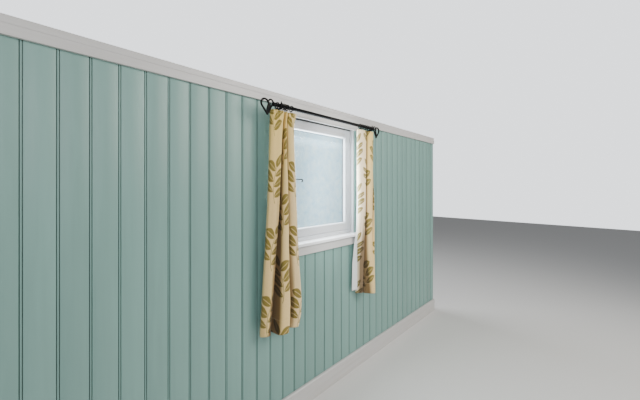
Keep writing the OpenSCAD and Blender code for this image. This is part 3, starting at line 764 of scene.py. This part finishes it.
def make_sheet(name, material, rows, seed, thick, strength=1.0):
    """A cloth sheet through rows of (height, line across) from the top down.

    Its attribute "cloth" keeps flat coordinates and the weight of painted fold shade.
    """
    columns = len(rows[0][1])
    hem = rows[-1][0]
    points, flat = [], []
    width = sum(sum((b - a).length for a, b in zip(row, row[1:])) for z, row in rows) / len(rows)
    for z, row in rows:
        depth = painted_fold_shade(row)
        for i, p in enumerate(row):
            reach = width * i / (columns - 1)
            q = p + back_of(row, i) * crumple(reach, z, seed) * strength
            points.append((q[0], q[1], z))
            flat.append((reach, z - hem, depth[i]))
    faces = [(r * columns + i, (r + 1) * columns + i, (r + 1) * columns + i + 1, r * columns + i + 1)
             for r in range(len(rows) - 1) for i in range(columns - 1)]
    form = Form()
    form.add(points, faces)
    piece = form.piece(name, material, smooth=180)
    layer = piece.data.attributes.new("cloth", "FLOAT_VECTOR", "POINT")
    layer.data.foreach_set("vector", [c for p in flat for c in p])
    body = piece.modifiers.new("thick", "SOLIDIFY")
    body.thickness = thick
    body.offset = 0
    return piece


def heights(top, hem, rows):
    return [top + (hem - top) * r / rows for r in range(rows + 1)]


def cloth_line(curtain, z):
    return curve_through(fold_line(curtain, z), CLOTH_COLUMNS + 1)


def gathered(line, z, seed):
    """The line with small puckers where the heading is drawn up, which die away below it."""
    fade = max(0.0, 1 - (HEADING_Z - z) / PUCKER_DROP) ** PUCKER_FADE
    if not fade:
        return line
    out = []
    far, often = PUCKER_WANDER
    for i, p in enumerate(line):
        k = i / len(line)
        wave = sin(k * 2 * pi * PUCKERS + seed + far * sin(k * often + seed))
        out.append(p + back_of(line, i) * PUCKER_DEEP * fade * wave)
    return out


def lining_line(line, z, flap):
    """The lining's places at height z, behind the face cloth's line and clear of its side hems."""
    back = [p + back_of(line, i) * LINING_GAP for i, p in enumerate(line)]
    end = len(line) - LINING_INSET
    if not flap:
        return back[LINING_INSET:end]
    edge = Vector((between([(h, x) for h, x, y in flap], z), between([(h, y) for h, x, y in flap], z)))
    start = back[FLAP_INSET]
    out = [edge.lerp(start, i / FLAP_STEPS) + Vector((0, FLAP_BOW * sin(pi * i / FLAP_STEPS)))
           for i in range(FLAP_STEPS)]
    return out + back[FLAP_INSET:end]


def make_curtains():
    """Each curtain: its printed cloth, which hangs from the rings, and the lining behind it."""
    white = lining_cloth()
    for side, curtain in CURTAINS.items():
        seed = curtain["seed"]
        rows = [(z, gathered(cloth_line(curtain, z), z, seed)) for z in heights(HEADING_Z, HEM_Z, CLOTH_ROWS)]
        print_cotton = printed_cloth("cloth_" + side, curtain["shift"], curtain["pale"])
        face = make_sheet("curtain_cloth_" + side, print_cotton, rows, seed, CLOTH_THICK)
        stands_for(face, "curtain_cloth", "curtain_" + side)
        rows = []
        for z in heights(HEADING_Z - LINING_TOP, HEM_Z + LINING_SHORT, LINING_ROWS):
            line = lining_line(cloth_line(curtain, z), z, curtain["flap"])
            rows.append((z, curve_through(line, LINING_COLUMNS + 1)))
        lining = make_sheet("curtain_lining_" + side, white, rows, seed, LINING_THICK, LINING_CRUMPLE)
        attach(lining, "root")


# Matchboard, as the frame's construction has it
BEAD_R = 0.003
QUIRK_W = 0.002
QUIRK_DEPTH = 0.004
# A quirk's wall and its softened arris: (distance out from the quirk, depth)
ARRIS = 0.0006
QUIRK_WALL = [(ARRIS, 0.0), (0.3 * ARRIS, 0.3 * ARRIS), (0.0, ARRIS), (0.0, QUIRK_DEPTH)]
BOARD_GAP = 0.0003
BOARD_UNEVEN = 0.0005
ROOM_Y = -0.047
CLAD_Y = 0.053


def board_joints(x0, x1):
    """Joints between two places along the wall that have a whole bead, as the construction has them."""
    groove = 2 * BEAD_R + 2 * QUIRK_W
    first = math.ceil((x0 + groove - BOARD_SHIFT) / BOARD_PITCH - 1e-6)
    last = math.floor((x1 - groove - BOARD_SHIFT) / BOARD_PITCH + 1e-6)
    return [BOARD_SHIFT + n * BOARD_PITCH for n in range(first, last + 1)]


def board_section(start, end, left, right, thickness):
    """One board's section, with depth 0 at its face. left and right are its joints, None at an end."""
    edge = BEAD_R + QUIRK_W
    near = start if left is None else left + BEAD_R + BOARD_GAP
    if left is None:
        section = [(near, 0.0)]
    else:
        section = [(near, QUIRK_DEPTH)] + [(left + edge + out, depth) for out, depth in QUIRK_WALL[::-1]]
    if right is None:
        section += [(end, 0.0), (end, thickness)]
    else:
        section += [(right - edge - out, depth) for out, depth in QUIRK_WALL]
        section += [(right - BEAD_R, QUIRK_DEPTH)]
        section += arc_points((right, BEAD_R), BEAD_R, -180, 0, 8)
        section += [(right + BEAD_R, thickness)]
    return section + [(near, thickness)]


def make_panel(node, inward, material, seed):
    """The boards of one node, each a hair's breadth deeper or less deep."""
    low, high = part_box(node)
    face_y = low[1] if inward > 0 else high[1]
    thickness = high[1] - low[1]
    form = Form()
    pick = random.Random(seed)
    cuts = [None] + board_joints(low[0], high[0]) + [None]
    for a, b in zip(cuts, cuts[1:]):
        out = pick.uniform(0, BOARD_UNEVEN)
        section = [(x, face_y + inward * (depth + out if depth < thickness else depth))
                   for x, depth in board_section(low[0], high[0], a, b, thickness)]
        if inward < 0:
            section.reverse()
        form.run(section, low[2], high[2])
    stands_for(form.piece("boards_" + node, material, smooth=30), "wall_paint", node)


def make_boards():
    """The lining faces the room and the cladding faces outside."""
    layers = (("lining", 1.0, painted_boards("sage_boards", ROOM_Y, 1.0)),
              ("cladding", -1.0, painted_boards("sage_boards_outside", CLAD_Y, -1.0)))
    panels = [(layer, panel) for layer in layers for panel in ("left", "right", "below", "above")]
    for seed, ((layer, inward, material), panel) in enumerate(panels):
        make_panel(layer + "_" + panel, inward, material, seed)


# Ironwork, as the frame's construction has it, but for a pole that is a little thicker
SIDES = {"left": -1, "right": 1}
POLE_Y = -0.137
POLE_Z = 1.806
POLE_SIDE = 0.0172
POLE_SOFT = 0.0014
POLE_R = POLE_SIDE / math.sqrt(2)
SEAT = 0.0003
TWIST = 0.057
TWIST_STEPS = 40
RIDGE = TWIST / 4
# The outermost ring is one ridge past its bracket, and the pole ends a little past that
BRACKET_RIDGES = 30.5
BRACKET_X = BRACKET_RIDGES * RIDGE
POLE_TAIL = 0.00725
POLE_HALF = (BRACKET_RIDGES + 1) * RIDGE + POLE_TAIL
CORNERS = ((1, 1), (-1, 1), (-1, -1), (1, -1))
# Brackets, and the shares by which the cradle's point narrows
PLATE_Z = 1.782, 1.838
PLATE_HALF_W = 0.008
PLATE_T = 0.004
PLATE_SOFT = 0.0008
PLATE_SCREWS = 0.010, 0.026
PLATE_SCREW = [(0.0, 0.0036), (0.0012, 0.0034), (0.0019, 0.0022), (0.0022, 0.0004)]
ARM_D = 0.010
ARM_SUNK = 0.001
CRADLE_R = POLE_R + SEAT + ARM_D / 2
POINT_STEP = 0.0025
POINT_SHARES = [0.97, 0.9, 0.8, 0.66, 0.46]
# Rings, their eyelets and the curtains' hooks
RING_R = 0.016
RING_WIRE = 0.005
RING_Z = POLE_Z + POLE_R + SEAT - (RING_R - RING_WIRE / 2)
RING_LEAN = 7
EYE_R = 0.006
EYE_WIRE = 0.0016
EYE_Z = RING_Z - RING_R + (RING_WIRE + EYE_WIRE) / 2 + SEAT - EYE_R
HOOK_WIRE = 0.0011
HOOK_BACK = 0.0050
HOOK_DROP = 0.0115
# How far each bend of a hook's wire is over the foot of its eyelet
HOOK_RISES = -0.0012, 0.0004, 0.0018, 0.0004, -0.0022, -0.0048
# How finely a hook looks for the heading behind its eyelet
HEADING_COUNT = 201
# Ridges of the twist from the middle of the pole to each ring
RING_RIDGES = {"left": (31.5, 29.5, 28.5, 27.5, 26.5, 24.5), "right": (31.5, 29.5, 27.5, 25.5, 23.5, 21.5)}
RING_SEED = {"left": 4, "right": 9}
# Finials: a turned collar, and a heart whose two lobes share its width
COLLAR_LEN = 0.023
COLLAR_R = 0.0125
COLLAR = [(0.0, 0.84), (0.03, 0.95), (0.09, 1.0), (0.30, 1.0), (0.36, 0.9), (0.52, 0.86), (0.68, 0.9),
          (0.74, 1.0), (0.91, 1.0), (0.97, 0.94), (1.0, 0.82)]
HEART_BAR = 0.0105
HEART_W = 0.086
OUTER_SHARE = 0.62
OUTER_R = OUTER_SHARE * (HEART_W - HEART_BAR) / 2
INNER_R = (1 - OUTER_SHARE) * (HEART_W - HEART_BAR) / 2
INNER_LIFT = 0.0035
INNER_TAPER = 0.7
# Where the inner lobe ends: bar widths across, and shares of the way up to its middle
INNER_END = (0.05, 0.6), (0.2, 0.0)
HEART_H = 0.090
HEART_DROP = 0.005
CURL_BOW = 0.004
CURL_SHARE = 0.9
CURL_LAP = radians(160)
# The forged lump at the heart's tip
TIP_LUMP = [(-0.00651, 0.0004), (-0.00525, 0.003675), (-0.0021, 0.00609), (0.0021, 0.00609),
            (0.00525, 0.003675), (0.00651, 0.0004)]


def make_pole(iron):
    """Square bar with softened edges, twisted evenly."""
    half = POLE_SIDE / 2
    sharp = half - POLE_SOFT
    section = []
    for quarter, (cx, cy) in enumerate(CORNERS):
        section += arc_points((cx * sharp, cy * sharp), POLE_SOFT, 90 * quarter, 90 * quarter + 90, 3)
        # One place in the middle of each face keeps the twist even
        nx, ny = CORNERS[(quarter + 1) % 4]
        section.append((half * (cx + nx) / 2, half * (cy + ny) / 2))
    steps = round(2 * POLE_HALF / TWIST * TWIST_STEPS)
    points = []
    for i in range(steps + 1):
        x = -POLE_HALF + 2 * POLE_HALF * i / steps
        turn = 2 * pi * x / TWIST
        for y, z in section:
            points.append((x, POLE_Y + y * cos(turn) - z * sin(turn),
                           POLE_Z + y * sin(turn) + z * cos(turn)))
    form = Form()
    form.skin(points, len(section))
    stands_for(form.piece("pole_twisted", iron), "black_iron", "curtain_pole")


def leg_angle(tip, centre, radius, side):
    """Where the leg from the tip touches a lobe: on the lobe's right (side 1) or left (side -1)."""
    across, up = tip[0] - centre[0], tip[1] - centre[1]
    return math.degrees(math.atan2(up, across) + side * math.acos(radius / math.hypot(across, up)))


def make_finial(side, iron):
    """Heart bent from round bar: a wide outer lobe, a narrow inner one and an S-shaped curl."""
    sign = SIDES[side]
    form = Form()
    r = HEART_BAR / 2
    outer = (OUTER_R, 0.0)
    inner = (-INNER_R, OUTER_R + INNER_LIFT - INNER_R)
    tip = (OUTER_R - INNER_R, OUTER_R + INNER_LIFT + HEART_BAR - HEART_H)
    side_up = HEART_DROP - inner[1]
    heart_x = POLE_HALF + COLLAR_LEN + INNER_R + math.sqrt(INNER_R ** 2 - side_up ** 2)
    heart_z = POLE_Z - HEART_DROP

    def place(path, radius):
        form.tube([(sign * (heart_x + x), POLE_Y, heart_z + z) for x, z in path], radius, 16)

    def leg_to(lobe):
        across, up = lobe[0][0] - tip[0], lobe[0][1] - tip[1]
        return [(tip[0] + across * i / 8, tip[1] + up * i / 8) for i in range(8)]

    lobe = arc_points(outer, OUTER_R, leg_angle(tip, outer, OUTER_R, 1), 180, 36)
    place(leg_to(lobe) + lobe, r)
    lobe = arc_points(inner, INNER_R, leg_angle(tip, inner, INNER_R, -1) + 360, 0, 30)
    path = leg_to(lobe) + lobe + [(across * HEART_BAR, up * inner[1]) for across, up in INNER_END]
    place(path, [r + (INNER_TAPER * r - r) * i / (len(path) - 1) for i in range(len(path))])
    path = [(tip[0] * k + CURL_BOW * sin(pi * k), (tip[1] + r) * k) for k in [i / 24 for i in range(25)]]
    start = (outer[0] + OUTER_R * cos(CURL_LAP), OUTER_R * sin(CURL_LAP))
    place([start] + path, CURL_SHARE * r)
    form.turned(TIP_LUMP, (sign * (heart_x + tip[0]), POLE_Y, heart_z + tip[1]), (0, 0, 1), 16)
    form.turned([(along * COLLAR_LEN, wide * COLLAR_R) for along, wide in COLLAR],
                (sign * POLE_HALF, POLE_Y, POLE_Z), (sign, 0, 0), 28)
    stands_for(form.piece("heart_" + side, iron, smooth=50), "black_iron", "finial_" + side)


def make_bracket(side, iron):
    """Wall plate with two screws, an arm under the pole and a cradle that ends in a blunt point."""
    x = SIDES[side] * BRACKET_X
    form = Form()
    low, high = PLATE_Z
    points = []
    for depth, inset in ((0.0, 0.0), (PLATE_T - PLATE_SOFT, 0.0), (PLATE_T, PLATE_SOFT)):
        y = ROOM_Y - depth
        left, right = x - PLATE_HALF_W + inset, x + PLATE_HALF_W - inset
        foot, top = low + inset, high - inset
        points += [(left, y, foot), (right, y, foot), (right, y, top), (left, y, top)]
    form.skin(points, 4)
    plate_y = ROOM_Y - PLATE_T
    r = ARM_D / 2
    reach = plate_y - POLE_Y
    path = [(x, plate_y + ARM_SUNK - reach * i / 8, POLE_Z - CRADLE_R) for i in range(8)]
    path += [(x, y, z) for y, z in arc_points((POLE_Y, POLE_Z), CRADLE_R, 270, 180, 15)]
    path += [(x, POLE_Y - CRADLE_R, POLE_Z + POINT_STEP * i) for i in range(1, 9)]
    form.tube(path, [r] * (len(path) - len(POINT_SHARES)) + [share * r for share in POINT_SHARES], 16)
    for down in PLATE_SCREWS:
        form.turned(PLATE_SCREW, (x, plate_y, high - down), (0, -1, 0), 16)
    stands_for(form.piece("bracket_iron_" + side, iron, smooth=40), "black_iron", "bracket_" + side)


def ring_path(x, lean):
    """Places round a ring across the pole, which hangs from its top and leans by an angle."""
    path = []
    for a in around(40):
        down = RING_R - RING_R * cos(a)
        path.append((x + down * sin(lean), POLE_Y + RING_R * sin(a), RING_Z + RING_R - down * cos(lean)))
    return path


def make_rings(side, iron):
    """Wire rings that lean a little, each with an eyelet that hangs in it and a hook to the heading."""
    form = Form()
    pick = random.Random(RING_SEED[side])
    heading = curve_through(fold_line(CURTAINS[side], HEADING_Z), HEADING_COUNT)
    front, behind = POLE_Y - EYE_WIRE, POLE_Y + EYE_WIRE
    for ridges in RING_RIDGES[side]:
        x = SIDES[side] * ridges * RIDGE
        lean = radians(pick.uniform(-RING_LEAN, RING_LEAN))
        form.tube(ring_path(x, lean), RING_WIRE / 2, 10, closed=True)
        foot = x + 2 * RING_R * sin(lean)
        eyelet = [(foot + EYE_R * sin(a), POLE_Y, EYE_Z + EYE_R * cos(a)) for a in around(24)]
        form.tube(eyelet, EYE_WIRE / 2, 8, closed=True)
        back = min(heading, key=lambda p: abs(p[0] - foot))[1] + HOOK_BACK
        bends = (front, front, POLE_Y, behind, behind, back)
        hook = [(foot, y, EYE_Z - EYE_R + rise) for y, rise in zip(bends, HOOK_RISES)]
        form.tube(hook + [(foot, back, HEADING_Z - HOOK_DROP)], HOOK_WIRE / 2, 6)
    stands_for(form.piece("ring_set_" + side, iron, smooth=60), "black_iron", "rings_" + side)


# Window fittings, as the frame's construction has them
SASH_Y = -0.022
SASH_HALF = 0.340
SASH_LOW = 1.047
SASH_TOP = 1.796
# How far under the sash's top the painted shadow below the head board starts
HEAD_SHADOW = 0.010
HINGE_IN = 0.077
HINGE_HALF = 0.025
HINGE_R = 0.004
HINGE_LEAF_T = 0.002
HINGE_LEAF_DEPTH = 0.030
KNUCKLES = 5
KNUCKLE_LEN = 0.010
KNUCKLE = [(0.0002, 0.0034), (0.0006, 0.0040), (0.0094, 0.0040), (0.0098, 0.0034)]
FASTENER_AT = (-0.3075, SASH_Y, 1.412)
BACKPLATE_HALF = 0.009, 0.032
BACKPLATE_T = 0.003
BACKPLATE_SOFT = 0.0008
BACKPLATE_SCREW_UP = 0.023
BACKPLATE_SCREW = [(0.0, 0.0034), (0.0010, 0.0031), (0.0016, 0.0018), (0.0018, 0.0003)]
BOSS = [(0.0, 0.0082), (0.002, 0.0080), (0.004, 0.0074), (0.010, 0.0072), (0.0125, 0.0078), (0.0140, 0.0072),
        (0.0150, 0.0050)]
# The handle is as long as in the photograph, and longer than the construction has it
HANDLE_LEN = 0.138
HANDLE_R = 0.0035
HANDLE_SWELL = 0.2
HANDLE_CURL = 0.007
HANDLE_OFF = 0.001
TONGUE_CLEAR = 0.0003
TONGUE_DEPTH = 0.008
TONGUE_HALF = 0.005


def make_hinges(material):
    """Two hinges on the sash's right-hand edge."""
    form = Form()
    x = SASH_HALF - HINGE_R
    y = SASH_Y - HINGE_R
    for z in (SASH_LOW + HINGE_IN, SASH_TOP - HINGE_IN):
        for i in range(KNUCKLES):
            form.turned(KNUCKLE, (x, y, z - HINGE_HALF + KNUCKLE_LEN * i), (0, 0, 1), 20)
        form.block((SASH_HALF - HINGE_LEAF_T, y, z - HINGE_HALF),
                   (SASH_HALF, SASH_Y + HINGE_LEAF_DEPTH, z + HINGE_HALF))
    stands_for(form.piece("hinge_set", material, smooth=40), "hinge_paint", "sash_hinges")


def make_fastener(iron):
    """Round-ended plate with two screws, a boss, a handle with a curled end and a tongue to the frame."""
    form = Form()
    x, y, z = FASTENER_AT
    wide, high = BACKPLATE_HALF
    straight = high - wide
    outline = arc_points((x, z + straight), wide, 0, 180, 12)
    outline += arc_points((x, z - straight), wide, 180, 360, 12)
    points = []
    for depth, inset in ((0.0, 0.0), (BACKPLATE_SOFT - BACKPLATE_T, 0.0), (-BACKPLATE_T, BACKPLATE_SOFT)):
        across, up = 1 - inset / wide, 1 - inset / high
        points += [(x + (px - x) * across, y + depth, z + (pz - z) * up) for px, pz in outline]
    form.skin(points, len(outline))
    form.turned(BOSS, FASTENER_AT, (0, -1, 0), 24)
    front = y - BACKPLATE_T
    bar_y = front - HANDLE_R - HANDLE_OFF
    path = [(x + HANDLE_LEN * i / 12, bar_y, z) for i in range(12)]
    curl = arc_points((x + HANDLE_LEN, z - HANDLE_CURL), HANDLE_CURL, 90, -100, 19)
    path += [(px, bar_y, pz) for px, pz in curl]
    last = len(path) - 1
    form.tube(path, [HANDLE_R * (1 + HANDLE_SWELL * i / last) for i in range(last + 1)], 14)
    form.block((TONGUE_CLEAR - SASH_HALF, y - TONGUE_DEPTH, z - TONGUE_HALF), (x, front, z + TONGUE_HALF))
    for up in (BACKPLATE_SCREW_UP, -BACKPLATE_SCREW_UP):
        form.turned(BACKPLATE_SCREW, (x, front, z + up), (0, -1, 0), 16)
    stands_for(form.piece("fastener_iron", iron, smooth=40), "black_iron", "casement_fastener")


def dress_frame():
    """Materials for the construction's own nodes. Returns the hinges' paint, which is the sash's."""
    # The sash's top rail and stiles carry a painted shadow line under the head board
    shadow_from = SASH_TOP - HEAD_SHADOW
    level = painted_trim("sash_white_level", SASH_WHITE, "x")
    timber = sawn_timber("timber_upright", "z")
    trim = painted_trim("trim_white", TRIM_WHITE, "x")
    dress(["frieze_board", "skirting_board", "head_board", "apron"], trim)
    # The window board gets the lighter white of painted daylight
    dress(["window_board"], painted_trim("trim_white_board_lit", WINDOW_BOARD_LIT, "x"))
    dress(["frame_head", "frame_sill", "sash_bottom_rail", "glazing_beads"], level)
    dress(["sash_top_rail"], painted_trim("sash_white_top", SASH_WHITE, "x", shadow_from))
    dress(["sash_stile_left", "sash_stile_right"], painted_trim("sash_white_stile", SASH_WHITE, "z", shadow_from))
    dress(["frame_jamb_left", "frame_jamb_right"], painted_trim("sash_white_upright", SASH_WHITE, "z"))
    dress(["sole_plate", "top_plate", "head_trimmer", "sill_trimmer"], sawn_timber("timber_level", "x"))
    dress(["end_stud_left", "end_stud_right", "studs_left", "studs_right", "trimmer_left", "trimmer_right",
           "cripple_stud"], timber)
    dress(["glass_pane"], window_glass(), 0)
    return level


FLOOR_HALF = 12.0
FLOOR_PALE = rgb(0.72, 0.71, 0.69)


def make_stage():
    """A plain pale floor."""
    mesh = bpy.data.meshes.new("floor")
    corners = [(FLOOR_HALF * x, FLOOR_HALF * y, 0) for x, y in ((-1, -1), (1, -1), (1, 1), (-1, 1))]
    mesh.from_pydata(corners, [], [(0, 1, 2, 3)])
    mesh.materials.append(Shader("floor_pale", Base_Color=FLOOR_PALE, Roughness=0.8).material)
    floor = add_object("floor", mesh)


make_camera()
make_lights()
painted = dress_frame()
iron = black_iron()
make_boards()
make_pole(iron)
for side in SIDES:
    make_finial(side, iron)
    make_bracket(side, iron)
    make_rings(side, iron)
make_hinges(painted)
make_fastener(iron)
make_curtains()
make_stage()
